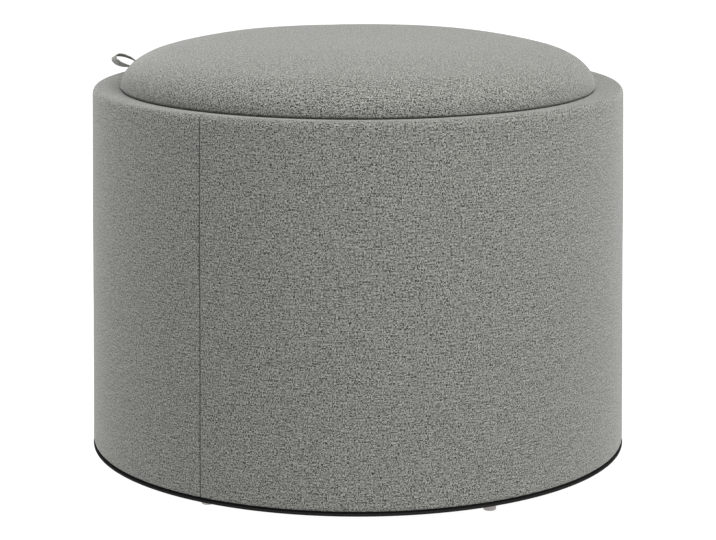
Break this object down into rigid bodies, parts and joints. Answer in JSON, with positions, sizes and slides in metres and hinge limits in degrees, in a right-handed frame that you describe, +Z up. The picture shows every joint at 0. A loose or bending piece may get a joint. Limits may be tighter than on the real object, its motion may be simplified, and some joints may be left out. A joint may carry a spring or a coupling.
{
  "type": "round storage pouf",
  "caption": "Round upholstered storage pouf: a cloth-covered drum on small feet, with a domed lift-off lid, a pull loop and a thin black foot edge.",
  "frame": {"origin": "on the floor under the middle of the drum, where the feet's undersides stand", "axes": "+Z up along the drum's axis, the front of the picture faces -Y, +X to the right in the picture; the pull loop is at the left, a little to the back"},
  "size_m": [0.5404, 0.5404, 0.4432],
  "materials": {
    "cover_cloth": "heathered grey-green woven upholstery cloth",
    "loop_tape": "narrow folded tape of the same cloth",
    "black_plate": "matt black",
    "foot_plastic": "pale pinkish-grey moulded plastic"
  },
  "bodies": {
    "drum": {"wall": "cover_cloth", "base_plate": "black_plate", "foot_1": "foot_plastic", "foot_2": "foot_plastic", "foot_3": "foot_plastic", "foot_4": "foot_plastic"},
    "lid": {"lid": "cover_cloth", "pull_loop": "loop_tape"}
  },
  "joints": [
    {"name": "lid_lift", "type": "slide", "parent": "drum", "child": "lid", "axis": [0, 0, 1], "range_m": [0, 0.25]}
  ]
}
